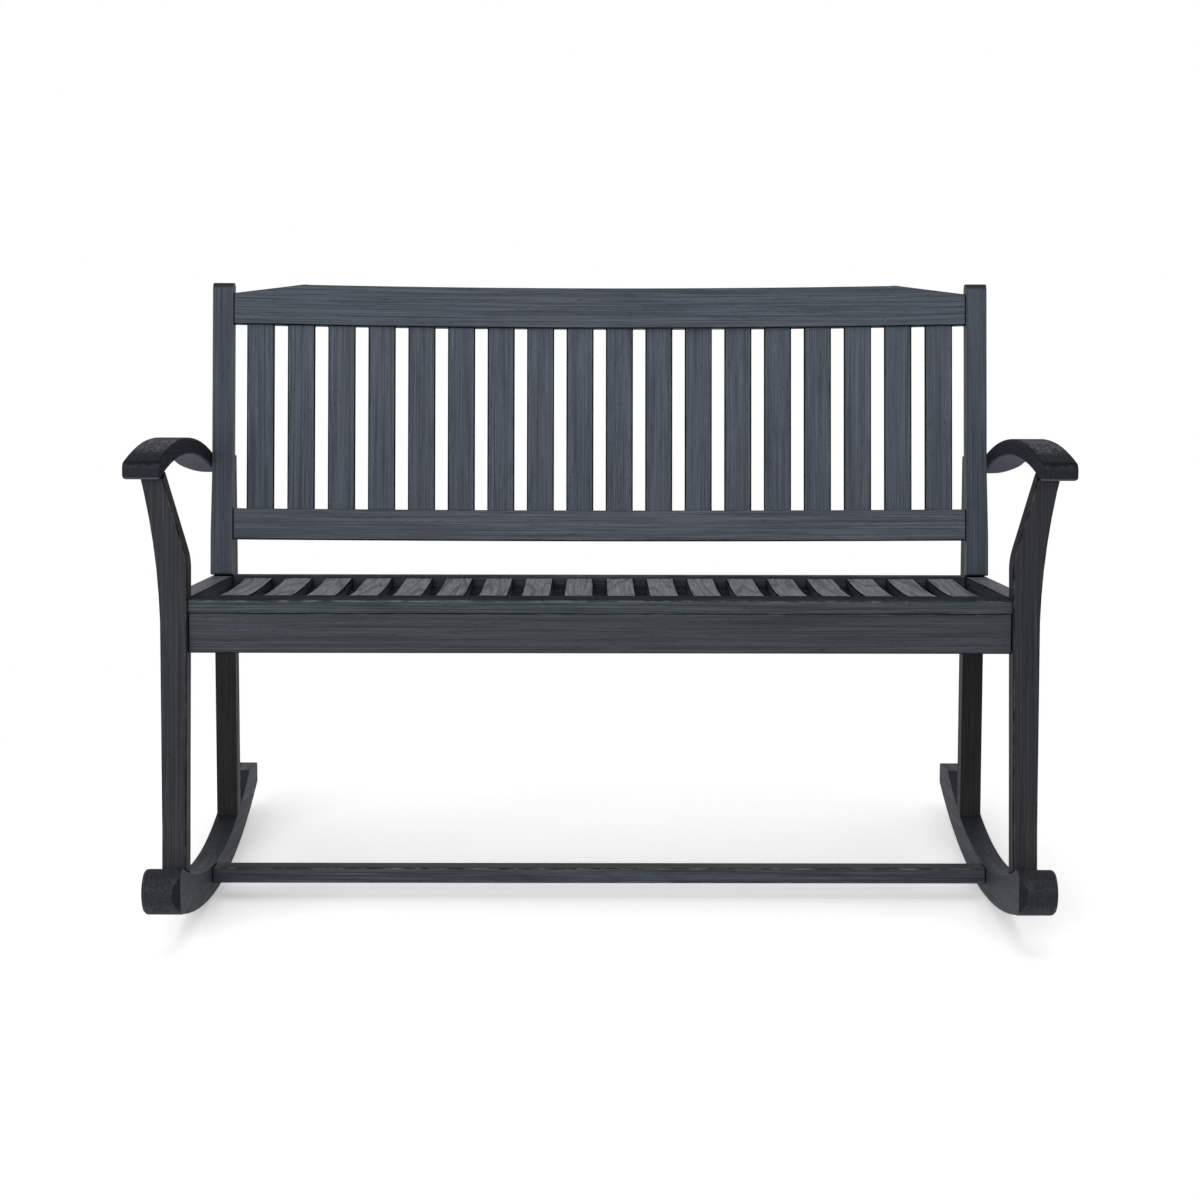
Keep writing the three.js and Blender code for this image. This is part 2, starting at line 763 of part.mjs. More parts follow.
function place(parent, name, geometry, colour, x = 0, y = 0, z = 0, turn = 0) {
  const mesh = new THREE.Mesh(geometry, finish(colour, colour === stain.steel));
  mesh.name = name;
  mesh.position.set(x, y, z);
  mesh.rotation.z = turn;
  parent.add(mesh);
}

for (const [name, side] of Object.entries(sides)) {
  place(frame, `rocker_${name}`, toGeometry(rocker(side)), stain.rocker);
  place(frame, `front_leg_${name}`, toGeometry(frontLeg(side)), stain.post);
  place(frame, `rear_leg_${name}`, toGeometry(rearLeg(side)), stain.post);
  place(frame, `arm_${name}`, toGeometry(arm(side)), stain.post);
  place(frame, `seat_side_rail_${name}`, seatSideRail(), stain.rail, side * legMiddle);
  place(back, `back_stile_${name}`, toGeometry(stile(side)), stain.rail);
  for (const [level, height] of Object.entries(boltHeights)) {
    place(frame, `back_bolt_${level}_${name}`, bolt(height), stain.steel, side * legMiddle, 0, height);
  }
}

place(frame, 'cross_stretcher', toGeometry(stretcher()), stain.rail);
place(frame, 'front_apron', toGeometry(frontApron()), stain.rail);
place(frame, 'front_seat_board', toGeometry(frontSeatBoard()), stain.rail);
place(frame, 'rear_seat_rail', rearSeatRail(), stain.rail);
place(frame, 'front_slat_ledger', slatLedger(slatFront), stain.post);
place(frame, 'rear_slat_ledger', slatLedger(slatRear - ledgerDepth), stain.post);
place(back, 'back_top_rail', toGeometry(topRail()), stain.rail);
place(back, 'back_lower_rail', toGeometry(lowRail()), stain.rail);

slatPlaces.forEach((x, index) => {
  const number = String(index + 1).padStart(2, '0');
  const seat = backSlatSeat(x);
  place(frame, `seat_slat_${number}`, seatSlat(), stain.slat, x);
  place(back, `back_slat_${number}`, backSlatBlock(0), stain.slat, seat.x, seat.y, seat.z, seat.turn);
});

frame.add(back);

const rockingBench = new THREE.Group();
rockingBench.add(frame);
const footprint = new THREE.Box3().setFromObject(rockingBench, true).getCenter(new THREE.Vector3());
frame.position.y -= footprint.y;

export default rockingBench;
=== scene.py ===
import math

import bmesh
import bpy
from mathutils import Matrix, Vector


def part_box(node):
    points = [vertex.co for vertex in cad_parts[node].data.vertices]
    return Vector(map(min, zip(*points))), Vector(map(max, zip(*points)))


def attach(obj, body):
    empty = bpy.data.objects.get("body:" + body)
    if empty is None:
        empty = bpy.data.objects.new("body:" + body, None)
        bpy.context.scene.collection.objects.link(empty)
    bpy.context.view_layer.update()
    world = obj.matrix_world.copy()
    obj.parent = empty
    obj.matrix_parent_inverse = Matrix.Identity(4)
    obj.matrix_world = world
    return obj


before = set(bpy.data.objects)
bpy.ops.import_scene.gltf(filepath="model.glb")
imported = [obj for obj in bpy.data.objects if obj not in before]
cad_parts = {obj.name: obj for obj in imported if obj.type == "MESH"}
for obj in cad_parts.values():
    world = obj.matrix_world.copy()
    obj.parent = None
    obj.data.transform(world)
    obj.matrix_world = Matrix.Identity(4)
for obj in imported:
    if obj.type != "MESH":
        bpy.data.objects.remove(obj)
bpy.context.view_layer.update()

# Camera, as the photograph was taken: place in metres, angles in degrees, lens and sensor in mm
CAMERA_PLACE = (-0.0106, -3.3215, 1.1305)
CAMERA_PITCH = 11.984
CAMERA_YAW = 0.188
CAMERA_ROLL = 0.13
CAMERA_LENS = 69.9
SENSOR_WIDTH = 36.0

# Angles of the bench, in degrees
RECLINE = 7.0
FRONT_LEG_LEAN = 12.2
REAR_LEG_LEAN = 7.0
BACK_LEAN = 13.0

# How far the back bows backwards at its middle, and half the length of the rails between the
# stiles, in metres
BACK_BOW = 0.048
RAIL_HALF = -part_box("back_stile_left")[1][0]

# The grain of a piece that lies from side to side
ACROSS = (1, 0, 0)

# Clean-up of the CAD meshes, in metres and degrees: points this near are merged, and faces this
# flat are joined. The bowed rails' meshes close only with the wider gap.
WELD_GAP = 0.000001
RAIL_WELD_GAP = 0.00001
FLAT_ANGLE = 0.4

# Corners over these angles in degrees are sharp. The arms' curves have steeper steps than the rest.
SHARP_ANGLE = 24
ARM_CRISP = 50

# Eased edges: segments, and the length in metres from which an edge is eased. No edge of the bench
# is as long as NEVER_EASED.
EDGE_STEPS = 3
SHORTEST_EASED = 0.005
NEVER_EASED = 10.0

# Corners of the largest face that isn't split, and how strongly large faces draw the normals
LARGEST_KEPT_FACE = 4
NORMAL_WEIGHT = 100

# Screw heads, in metres and degrees. A ring is a share of the radius and a share of the head.
SCREW_RADIUS = 0.0036
SCREW_HEAD = 0.0016
SCREW_RINGS = ((1.0, 0.0), (1.0, 0.4), (0.93, 0.75), (0.78, 0.95))
SCREW_SIDES = 24
SCREW_SPIN = 37

# The cross in a screw head: half its width in metres, the reach of an arm in half widths, and its
# floor as shares of its width and of the head
SCREW_SLOT = 0.00042
SLOT_REACH = 2.6
SLOT_FLOOR_WIDTH = 0.8
SLOT_FLOOR_HEIGHT = 0.35

# Wooden plugs, in metres. A ring is a share of the radius and a share of how far the plug is proud.
PLUG_RADIUS = 0.0048
PLUG_PROUD = 0.0007
PLUG_RINGS = ((1.0, 0.0), (1.0, 0.35), (0.86, 0.75), (0.5, 0.95))
PLUG_SIDES = 20

# Where the plugs of the left side are: family of the node, y, z, and x of its outer face
PLUG_PLACES = (
    ("front_leg", -0.2275, 0.405, -0.5966),
    ("front_leg", -0.2200, 0.440, -0.5973),
    ("rear_leg", 0.2035, 0.390, -0.5920),
    ("rocker", -0.0824, 0.028, -0.5935),
    ("rocker", 0.1600, 0.030, -0.5935),
)

# Noises of the materials: features per metre along each axis, the first along the grain, then
# octaves, roughness and distortion
NOISES = {
    "fibres": ((7, 640, 640), 4, 0.66, 0.0),
    "strands": ((4, 430, 430), 4, 0.64, 0.0),
    "streaks": ((2.6, 110, 110), 4, 0.6, 0.12),
    "patches": ((2.6, 13, 13), 4, 0.62, 0.0),
    "blots": ((4, 150, 150), 5, 0.7, 0.15),
    "slow": ((1.3, 17, 17), 1.5, 0.4, 0.0),
    "pores": ((60, 480, 480), 2, 0.6, 0.0),
    "hairs": ((7, 500, 500), 2, 0.5, 0.0),
    "rubbed": ((26, 140, 140), 4, 0.7, 0.0),
    "sheen_mottle": ((55, 210, 210), 5, 0.7, 0.8),
    "steel_stains": ((320, 320, 320), 4, 0.55, 0.0),
    "steel_scratches": ((2600, 2600, 300), 2, 0.55, 0.0),
}

# Where a feature of the wood begins and where it is full, as values of its noise
STREAK_RANGE = (0.4, 0.6)
PATCH_RANGE = (0.48, 0.68)
BLOT_RANGE = (0.54, 0.72)
GROWTH_RANGE = (0.62, 1.0)
PORE_RANGE = (0.62, 0.72)
HAIR_RANGE = (0.62, 0.72)
RUBBED_RANGE = (0.42, 0.66)
SHEEN_MOTTLE_RANGE = (0.4, 0.62)
GLOSS_RANGE = (0.2, 0.8)

# Where a change to a face begins and where it is full, as parts of the surface normal. The changes
# paint light and shade by the way a face looks: tops, undersides, sides and slants made lighter or
# darker, a sheen on level crests, a highlight on rounded edges besides their wear, and shade on
# lower edges.
TOP_SLOPE = (0.3, 0.75)
UNDER_SLOPE = (-0.3, -0.75)
FLANK_SLOPE = (0.14, 0.28)
OBLIQUE_SLOPE = (0.36, 0.46)
CREST_SHEEN_SLOPE = (0.9955, 0.9995)
ARRIS_START = (0.25, 0.4)
ARRIS_END = (0.85, 0.65)
UNDER_EDGE_SHADE_SLOPE = (-0.1, -0.4)

# Painted shade in corners and joints, from ambient occlusion: reach in metres, and samples and
# range of the occlusion
CREVICE_REACH = 0.004
CREVICE_SAMPLES = 4
CREVICE_RANGE = (0.75, 0.3)

# Dark line at the ends of a crosswise rail, as a range in metres inside the end
END_LINE = (0.0022, 0.0014)

# How strong each feature is, in the stain's tone: shares of a mix, and levels of the tone
STREAK_DARKER = 0.42
STREAK_PALER = 0.5
BLOT_SHARE = 0.5
BLOT_LEVEL = 0.5
GROWTH_LEVEL = 0.36
PORE_LEVEL = 0.3
HAIR_SHARE = 0.6
HAIR_LEVEL = 0.8
# Painted sheen on level crests
CREST_SHEEN_LEVEL = 1.6
# Pale line of the arris: wear and painted highlight
ARRIS_LEVEL = 1.1
RUBBED_LEVEL = 1.25
# Painted shade on the lower eased edges
UNDER_EDGE_SHADE_LEVEL = 0.1
END_LEVEL = 0.08
# Painted shade in corners and joints
CREVICE_LEVEL = 0.15
WARM_GAIN = (1.3, 0.98, 0.72)
WARM_LEVEL = 1.05
PALE_GAIN = (2.2, 2.1, 1.95)
PALE_LIFT = (0.035, 0.032, 0.028)

# Growth lines: how fast they pass through the slow noise, and how much the streaks bend them
GROWTH_PACE = 62.0
GROWTH_BEND = 5.0

# How far apart the grain of two boards can lie in the noises, in metres
BOARD_SPREAD = 19.0

# Shares of fibres, strands and streaks in the stain's streaks, of fibres and strands in the bump,
# and of the stain's streaks and the blots in the gloss
STREAK_SHARES = (0.36, 0.5, 0.14)
BUMP_SHARES = (0.5, 0.4)
GLOSS_SHARES = (0.5, 0.5)

# Bump: how deep growth lines and pores are against the rest, and the whole depth in metres
GROWTH_DEPTH = 0.12
PORE_DEPTH = 0.6
BUMP_DEPTH = 0.0009

# Spread of the roughness to either side of its middle
ROUGH_SPREAD = 0.12

# Zinc-plated steel: tone, levels of the stains, metal share and roughness
STEEL_TONE = "9a9b9c"
STEEL_STAIN_RANGE = (0.35, 0.7)
STEEL_LEVELS = (0.55, 1.1)
STEEL_METAL = 0.95
STEEL_SCRATCH_RANGE = (0.3, 0.7)
STEEL_ROUGHNESS = (0.3, 0.5)

# World and floor: light levels, the floor's half width and drop in metres, and the distances
# from the middle over which the floor turns from shadowed to plain white
AMBIENT = 0.32
FLOOR_REACH = 7.0
FLOOR_DROP = 0.0004
FLOOR_GLOW = 0.36
FLOOR_PAINT = 0.9
FLOOR_GAIN = 1.4
SHADOW_RANGE = (0.6, 1.3)
WHITE = (1, 1, 1, 1)

# Lamps: name, place, aim, width and height in metres, and watts
LAMPS = (
    ("overhead", (0.0, -0.5, 3.0), (0, 0, 0.4), 3.2, 2.6, 32),
    ("front", (-1.7, -3.6, 1.5), (0, 0, 0.5), 3.0, 2.0, 66),
)

# Numbers of a Mix node's colour sockets
MIX_FIRST = 6
MIX_SECOND = 7
MIX_RESULT = 2


class Finish:
    """How the stained wood of one family of pieces looks."""

    worn = 0.3  # pale hairs and rubbed edges
    brown = 0.12  # bare brown patches
    figure = 0.4  # growth lines
    grain = 1.0  # contrast of the streaks
    pitted = 0.55  # pores
    crevice = 1.0  # painted shade in corners and joints, from ambient occlusion
    rough = 0.62  # middle of the roughness
    shine = 0.1  # specular level
    relief = 0.6  # strength of the bump
    top = 0.7  # painted light and shade: level of faces that look up
    under = 1.0  # painted light and shade: level of faces that look down
    flank = 1.0  # painted light and shade: level of faces that look sideways
    oblique = 1.0  # painted shade: level of faces that look halfway between front and side
    crest_sheen = 0.0  # painted sheen: pale mottling where the surface is level
    arris_wear_and_highlight = 0.0  # pale worn line and painted highlight where the surface turns from upright to level
    half_length = 0.0  # of a crosswise rail with a dark line at its ends, in metres
    bowed = False  # whether the grain follows the bow of the back
    shade_under_edges = False  # whether the lower eased edges get painted shade

    def __init__(self, tone, direction, **changes):
        self.tone = tone  # the stain, as an sRGB hex string
        self.direction = direction  # of the grain
        vars(self).update(changes)

    def changed(self, **changes):
        """A copy with some of its values changed."""
        return Finish(**{**vars(self), **changes})


def srgb(hex_colour):
    """The linear colour of a hex string such as 4e555e."""
    shares = [int(hex_colour[i:i + 2], 16) / 255 for i in (0, 2, 4)]
    return [s / 12.92 if s <= 0.04045 else ((s + 0.055) / 1.055) ** 2.4 for s in shares]


def worn_and_sheen_tone(tone):
    """The linear colour of a stain where it is worn thin, from its hex string. It also colours
    painted sheen and highlights.
    """
    parts = zip(srgb(tone), PALE_GAIN, PALE_LIFT)
    return [part * gain + lift for part, gain, lift in parts]


def shade(colour, level):
    """A colour made darker or lighter, with full alpha."""
    return (*[min(1.0, part * level) for part in colour], 1.0)


class Nodes:
    """Short ways to add and link nodes in one tree."""

    def __init__(self, tree):
        self.tree = tree

    def add(self, kind, **settings):
        node = self.tree.nodes.new(kind)
        for key, value in settings.items():
            setattr(node, key, value)
        return node

    def feed(self, node, socket, value):
        """Sets or links an input, by its name or its number."""
        if isinstance(value, bpy.types.NodeSocket):
            self.tree.links.new(value, node.inputs[socket])
        else:
            node.inputs[socket].default_value = value

    def math(self, operation, *values):
        node = self.add("ShaderNodeMath", operation=operation)
        for place, value in enumerate(values):
            self.feed(node, place, value)
        return node.outputs[0]

    def product(self, first, second):
        return self.math("MULTIPLY", first, second)

    def weighted(self, values, weights):
        """The sum of values, each times its weight."""
        parts = [self.product(value, weight) for value, weight in zip(values, weights)]
        total = parts[0]
        for part in parts[1:]:
            total = self.math("ADD", total, part)
        return total

    def vector_math(self, operation, first, second):
        node = self.add("ShaderNodeVectorMath", operation=operation)
        self.feed(node, 0, first)
        self.feed(node, 1, second)
        return node

    def parts(self, vector):
        """The X, Y and Z of a vector."""
        node = self.add("ShaderNodeSeparateXYZ")
        self.feed(node, 0, vector)
        return node.outputs[:]

    def noise(self, place, name):
        stretch, detail, roughness, distortion = NOISES[name]
        node = self.add("ShaderNodeTexNoise")
        self.feed(node, "Vector", self.vector_math("MULTIPLY", place, stretch).outputs[0])
        self.feed(node, "Scale", 1.0)
        self.feed(node, "Detail", detail)
        self.feed(node, "Roughness", roughness)
        self.feed(node, "Distortion", distortion)
        return node.outputs["Fac"]

    def ramp(self, value, low, high, out_low=0.0, out_high=1.0):
        """A smooth step from one value to another."""
        node = self.add("ShaderNodeMapRange", interpolation_type="SMOOTHSTEP")
        for socket, number in enumerate((value, low, high, out_low, out_high)):
            self.feed(node, socket, number)
        return node.outputs[0]

    def mix(self, share, first, second):
        node = self.add("ShaderNodeMix", data_type="RGBA")
        self.feed(node, 0, share)
        self.feed(node, MIX_FIRST, first)
        self.feed(node, MIX_SECOND, second)
        return node.outputs[MIX_RESULT]

    def levelled(self, share, colour, level):
        """A linked colour that is darker or lighter where the share is full."""
        node = self.add("ShaderNodeVectorMath", operation="SCALE")
        self.feed(node, 0, colour)
        self.feed(node, "Scale", level)
        return self.mix(share, colour, node.outputs[0])


def new_material(name):
    """An empty material and its nodes."""
    material = bpy.data.materials.new(name)
    material.use_nodes = True
    material.node_tree.nodes.clear()
    return material, Nodes(material.node_tree)


def grain_turn(direction):
    """The turn that brings a grain direction onto X."""
    along = Vector(direction).normalized()
    if abs(along.x) > abs(along.y) + abs(along.z):
        return (0.0, 0.0, 0.0)
    across = Vector((1, 0, 0))
    return tuple(Matrix((along, across, along.cross(across))).to_euler())


def leaning(angle):
    """An upright direction that leans back by an angle in degrees."""
    return (0, math.sin(math.radians(angle)), math.cos(math.radians(angle)))


def lying(angle):
    """A front to back direction that drops by an angle in degrees."""
    return (0, math.cos(math.radians(angle)), -math.sin(math.radians(angle)))


def unbowed(tree, spot, half_length):
    """Places on a bowed rail as they are before it is bent, so that the grain follows the bow."""
    across = tree.math("ABSOLUTE", tree.math("DIVIDE", tree.parts(spot)[0], half_length))
    bow = [part * BACK_BOW for part in lying(BACK_LEAN)]
    shift = tree.vector_math("MULTIPLY", tree.math("POWER", across, 2.0), bow).outputs[0]
    return tree.vector_math("ADD", spot, shift).outputs[0]


def board_place(tree, spot, finish):
    """Places with the grain along X, and elsewhere in the noises for each board."""
    place = tree.add("ShaderNodeMapping", vector_type="POINT")
    straight = unbowed(tree, spot, finish.half_length) if finish.bowed else spot
    tree.feed(place, "Vector", straight)
    tree.feed(place, "Rotation", grain_turn(finish.direction))
    chance = tree.add("ShaderNodeObjectInfo").outputs["Random"]
    shift = tree.product(chance, BOARD_SPREAD)
    return tree.vector_math("ADD", place.outputs[0], shift).outputs[0]


def wood_marks(tree, board):
    """The noises of the wood, and how full its streaks, growth lines and pores are."""
    names = ("fibres", "strands", "streaks", "patches", "blots", "slow", "pores", "hairs")
    marks = {name: tree.noise(board, name) for name in names}
    lengthwise = (marks["fibres"], marks["strands"], marks["streaks"])
    marks["streaked"] = tree.ramp(tree.weighted(lengthwise, STREAK_SHARES), *STREAK_RANGE)
    waves = tree.weighted((marks["slow"], marks["streaks"]), (GROWTH_PACE, GROWTH_BEND))
    marks["growth"] = tree.ramp(tree.math("SINE", waves), *GROWTH_RANGE)
    marks["pits"] = tree.ramp(marks["pores"], *PORE_RANGE)
    return marks


def grain_colour(tree, finish, marks):
    """The stain with its streaks, brown patches, blots, growth lines, pores and pale hairs."""
    colour = srgb(finish.tone)
    dark = shade(colour, 1 - STREAK_DARKER * finish.grain)
    light = shade(colour, 1 + STREAK_PALER * finish.grain)
    body = tree.mix(marks["streaked"], dark, light)
    warm = shade([part * gain for part, gain in zip(colour, WARM_GAIN)], WARM_LEVEL)
    patches = tree.ramp(marks["patches"], *PATCH_RANGE)
    body = tree.mix(tree.product(patches, finish.brown), body, warm)
    blots = tree.product(tree.ramp(marks["blots"], *BLOT_RANGE), BLOT_SHARE * finish.grain)
    body = tree.mix(blots, body, shade(colour, BLOT_LEVEL))
    growth = tree.product(marks["growth"], finish.figure)
    body = tree.mix(growth, body, shade(colour, GROWTH_LEVEL))
    pits = tree.product(marks["pits"], finish.pitted)
    body = tree.mix(pits, body, shade(colour, PORE_LEVEL))
    hairs = tree.product(tree.ramp(marks["hairs"], *HAIR_RANGE), HAIR_SHARE * finish.worn)
    return tree.mix(hairs, body, shade(worn_and_sheen_tone(finish.tone), HAIR_LEVEL))


def worn_and_shaded_colour(tree, board, spot, finish, edge, body):
    """The stain with its wear and dark rail ends, and with light and shade painted by the way that
    each face looks, in corners and on lower edges.
    """
    colour, pale = srgb(finish.tone), worn_and_sheen_tone(finish.tone)
    normal = tree.add("ShaderNodeTexCoord").outputs["Normal"]
    across_face, front_face, up_face = tree.parts(normal)
    # Painted light and shade: faces that look up or down are made darker or lighter
    body = tree.levelled(tree.ramp(up_face, *TOP_SLOPE), body, finish.top)
    body = tree.levelled(tree.ramp(up_face, *UNDER_SLOPE), body, finish.under)
    # Painted shade on faces that look halfway between front and side
    if finish.oblique < 1:
        slant = tree.math("ABSOLUTE", tree.product(across_face, front_face))
        body = tree.levelled(tree.ramp(slant, *OBLIQUE_SLOPE), body, finish.oblique)
    # Painted sheen: pale mottling where the surface is level
    if finish.crest_sheen:
        sheen_mottle = tree.ramp(tree.noise(board, "sheen_mottle"), *SHEEN_MOTTLE_RANGE)
        level = tree.ramp(up_face, *CREST_SHEEN_SLOPE)
        sheen = tree.product(level, tree.product(sheen_mottle, finish.crest_sheen))
        body = tree.mix(sheen, body, shade(pale, CREST_SHEEN_LEVEL))
    rubbed = tree.ramp(tree.noise(board, "rubbed"), *RUBBED_RANGE)
    # Pale line where the surface rounds over: wear, and a painted highlight on rounded noses
    if finish.arris_wear_and_highlight:
        slope = tree.math("ABSOLUTE", up_face)
        band = tree.product(tree.ramp(slope, *ARRIS_START), tree.ramp(slope, *ARRIS_END))
        band = tree.product(band, tree.product(rubbed, finish.arris_wear_and_highlight))
        body = tree.mix(band, body, shade(pale, ARRIS_LEVEL))
    if edge:
        body = tree.mix(tree.product(rubbed, finish.worn), body, shade(pale, RUBBED_LEVEL))
    # Painted shade on the lower eased edges
    if edge and finish.shade_under_edges:
        body = tree.mix(tree.ramp(up_face, *UNDER_EDGE_SHADE_SLOPE), body, shade(colour, UNDER_EDGE_SHADE_LEVEL))
    # Painted light and shade on faces that look sideways
    if finish.flank != 1:
        sideways = tree.ramp(tree.math("ABSOLUTE", across_face), *FLANK_SLOPE)
        body = tree.levelled(sideways, body, finish.flank)
    if finish.half_length:
        across = tree.math("ABSOLUTE", tree.parts(spot)[0])
        inset = tree.math("SUBTRACT", finish.half_length, across)
        body = tree.mix(tree.ramp(inset, *END_LINE), body, shade(colour, END_LEVEL))
    # Painted shade in corners and joints, from ambient occlusion
    corner = tree.add("ShaderNodeAmbientOcclusion", samples=CREVICE_SAMPLES)
    tree.feed(corner, "Distance", CREVICE_REACH)
    corner_shade = tree.product(tree.ramp(corner.outputs["AO"], *CREVICE_RANGE), finish.crevice)
    return tree.mix(corner_shade, body, shade(colour, CREVICE_LEVEL))


def stained_wood(name, finish, edge=False):
    """Hardwood with a brushed blue-grey stain, for the faces or the eased edges of a family."""
    material, tree = new_material(name)
    spot = tree.add("ShaderNodeTexCoord").outputs["Object"]
    board = board_place(tree, spot, finish)
    marks = wood_marks(tree, board)
    body = grain_colour(tree, finish, marks)
    body = worn_and_shaded_colour(tree, board, spot, finish, edge, body)

    heights = (marks["fibres"], marks["strands"], marks["growth"], marks["pits"])
    depths = (*BUMP_SHARES, -GROWTH_DEPTH * finish.figure, -PORE_DEPTH * finish.pitted)
    bump = tree.add("ShaderNodeBump")
    tree.feed(bump, "Height", tree.weighted(heights, depths))
    tree.feed(bump, "Strength", finish.relief)
    tree.feed(bump, "Distance", BUMP_DEPTH)

    gloss = tree.weighted((marks["streaked"], marks["blots"]), GLOSS_SHARES)
    smooth, coarse = finish.rough - ROUGH_SPREAD, finish.rough + ROUGH_SPREAD
    shader = tree.add("ShaderNodeBsdfPrincipled")
    tree.feed(shader, "Base Color", body)
    tree.feed(shader, "Roughness", tree.ramp(gloss, *GLOSS_RANGE, smooth, coarse))
    tree.feed(shader, "Specular IOR Level", finish.shine)
    tree.feed(shader, "Normal", bump.outputs[0])
    tree.feed(tree.add("ShaderNodeOutputMaterial"), "Surface", shader.outputs[0])
    return material


def zinc_steel(name):
    """Plated steel with faint brushing and darker stains."""
    material, tree = new_material(name)
    place = tree.add("ShaderNodeTexCoord").outputs["Object"]
    stains = tree.ramp(tree.noise(place, "steel_stains"), *STEEL_STAIN_RANGE)
    scratches = tree.noise(place, "steel_scratches")
    dark, light = [shade(srgb(STEEL_TONE), level) for level in STEEL_LEVELS]
    shader = tree.add("ShaderNodeBsdfPrincipled")
    tree.feed(shader, "Base Color", tree.mix(stains, dark, light))
    tree.feed(shader, "Metallic", STEEL_METAL)
    roughness = tree.ramp(scratches, *STEEL_SCRATCH_RANGE, *STEEL_ROUGHNESS)
    tree.feed(shader, "Roughness", roughness)
    tree.feed(tree.add("ShaderNodeOutputMaterial"), "Surface", shader.outputs[0])
    return material


def long_sharp_edges(shortest, crisp):
    """Nodes that give bevel weight to long outer corners, and keep corners over an angle crisp."""
    group = bpy.data.node_groups.new("long_sharp_edges", "GeometryNodeTree")
    for way in ("INPUT", "OUTPUT"):
        group.interface.new_socket("Geometry", in_out=way, socket_type="NodeSocketGeometry")
    tree = Nodes(group)
    ends = tree.add("GeometryNodeInputMeshEdgeVertices")
    length = tree.vector_math("DISTANCE", ends.outputs["Position 1"], ends.outputs["Position 2"])
    long = tree.math("GREATER_THAN", length.outputs["Value"], shortest)
    turn = tree.add("GeometryNodeInputMeshEdgeAngle")
    signed, unsigned = turn.outputs["Signed Angle"], turn.outputs["Unsigned Angle"]
    sharp = tree.math("GREATER_THAN", signed, math.radians(SHARP_ANGLE))
    eased = tree.product(sharp, long)
    folded = tree.math("GREATER_THAN", unsigned, math.radians(crisp))

    store = tree.add("GeometryNodeStoreNamedAttribute", data_type="FLOAT", domain="EDGE")
    tree.feed(store, "Geometry", tree.add("NodeGroupInput").outputs[0])
    tree.feed(store, "Name", "bevel_weight_edge")
    tree.feed(store, "Value", eased)
    smooth = tree.add("GeometryNodeSetShadeSmooth", domain="EDGE")
    tree.feed(smooth, "Geometry", store.outputs[0])
    tree.feed(smooth, "Selection", tree.math("SUBTRACT", folded, eased))
    tree.feed(smooth, "Shade Smooth", False)
    tree.feed(tree.add("NodeGroupOutput"), 0, smooth.outputs[0])
    return group


def ease_edges(piece, width, corners, weld_gap):
    """Rounds a CAD piece's long outer corners. The rounded strips take its second material."""
    weld = piece.modifiers.new("weld", "WELD")
    weld.merge_threshold = weld_gap
    flat = piece.modifiers.new("flat", "DECIMATE")
    flat.decimate_type = "DISSOLVE"
    flat.angle_limit = math.radians(FLAT_ANGLE)
    piece.modifiers.new("corners", "NODES").node_group = corners
    if width:
        ease = piece.modifiers.new("ease", "BEVEL")
        ease.width = width
        ease.segments = EDGE_STEPS
        ease.limit_method = "WEIGHT"
        ease.use_clamp_overlap = False
        ease.material = 1
    split = piece.modifiers.new("split", "TRIANGULATE")
    split.ngon_method = "BEAUTY"
    split.min_vertices = LARGEST_KEPT_FACE + 1
    piece.data.shade_smooth()
    normals = piece.modifiers.new("normals", "WEIGHTED_NORMAL")
    normals.keep_sharp = True
    normals.weight = NORMAL_WEIGHT


def use_materials(piece, *materials):
    piece.data.materials.clear()
    for material in materials:
        piece.data.materials.append(material)


def dress(family, nodes, finish, width=0.0, shortest=SHORTEST_EASED, crisp=SHARP_ANGLE,
          weld_gap=WELD_GAP):
    """Gives a family of CAD pieces its stained wood and its eased edges.

    The edges have no shine, because at a low angle they would mirror the white world.
    """
    face = stained_wood(f"{family}_face", finish)
    edge = stained_wood(f"{family}_edge", finish.changed(shine=0.0), edge=True)
    corners = long_sharp_edges(shortest if width else NEVER_EASED, crisp)
    for name in nodes:
        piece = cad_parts[name]
        use_materials(piece, face, edge)
        ease_edges(piece, width, corners, weld_gap)


def named(start):
    return sorted(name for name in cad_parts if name.startswith(start))


def dress_back():
    """The stiles, rails and slats of the back."""
    back = leaning(BACK_LEAN)
    slats = Finish(tone="525963", direction=back, worn=0.5, figure=0.18, grain=0.78, flank=0.1,
                   shade_under_edges=True)
    dress("back_slat", named("back_slat"), slats, width=0.0028)
    stiles = Finish(tone="4a5159", direction=back, worn=0.6, figure=0.1, grain=0.7, top=0.25)
    dress("stile", named("back_stile"), stiles)
    top = Finish(tone="4f565f", direction=ACROSS, worn=0.15, figure=0.14, grain=0.82,
                 half_length=RAIL_HALF, bowed=True, shade_under_edges=True)
    dress("top_rail", ["back_top_rail"], top, width=0.0026, shortest=0.03,
          weld_gap=RAIL_WELD_GAP)
    lower = top.changed(tone="575d67", figure=0.18)
    dress("lower_rail", ["back_lower_rail"], lower, width=0.0026, shortest=0.045,
          weld_gap=RAIL_WELD_GAP)


